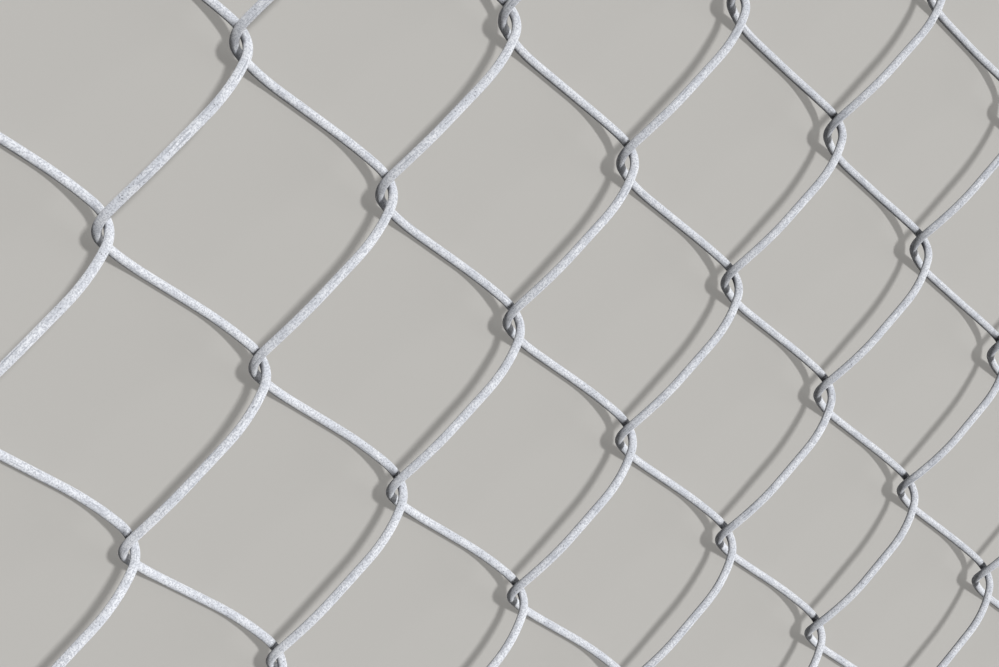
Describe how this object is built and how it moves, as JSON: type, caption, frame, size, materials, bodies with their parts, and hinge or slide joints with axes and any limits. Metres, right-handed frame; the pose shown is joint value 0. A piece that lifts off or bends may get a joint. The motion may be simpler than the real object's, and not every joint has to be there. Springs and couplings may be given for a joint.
{
  "type": "chain-link fence fabric",
  "caption": "Flat sheet of galvanized chain-link fence fabric: wires wound as flattened spirals, hooked together into diamonds, with knuckled loops along both selvages.",
  "frame": {"origin": "on the ground under the middle of the fabric's outline", "axes": "+X across the pickets to the right, +Y along the pickets up the fence, +Z out of the ground through the fabric's thickness"},
  "size_m": [0.617, 0.9143, 0.0215],
  "materials": {
    "galvanized_wire": "satin hot-dip zinc"
  },
  "bodies": {
    "root": {"picket_01": "galvanized_wire", "picket_02": "galvanized_wire", "picket_03": "galvanized_wire", "picket_04": "galvanized_wire", "picket_05": "galvanized_wire", "picket_06": "galvanized_wire", "picket_07": "galvanized_wire", "picket_08": "galvanized_wire", "picket_09": "galvanized_wire", "picket_10": "galvanized_wire", "picket_11": "galvanized_wire", "picket_12": "galvanized_wire", "picket_13": "galvanized_wire", "picket_14": "galvanized_wire"}
  },
  "joints": []
}
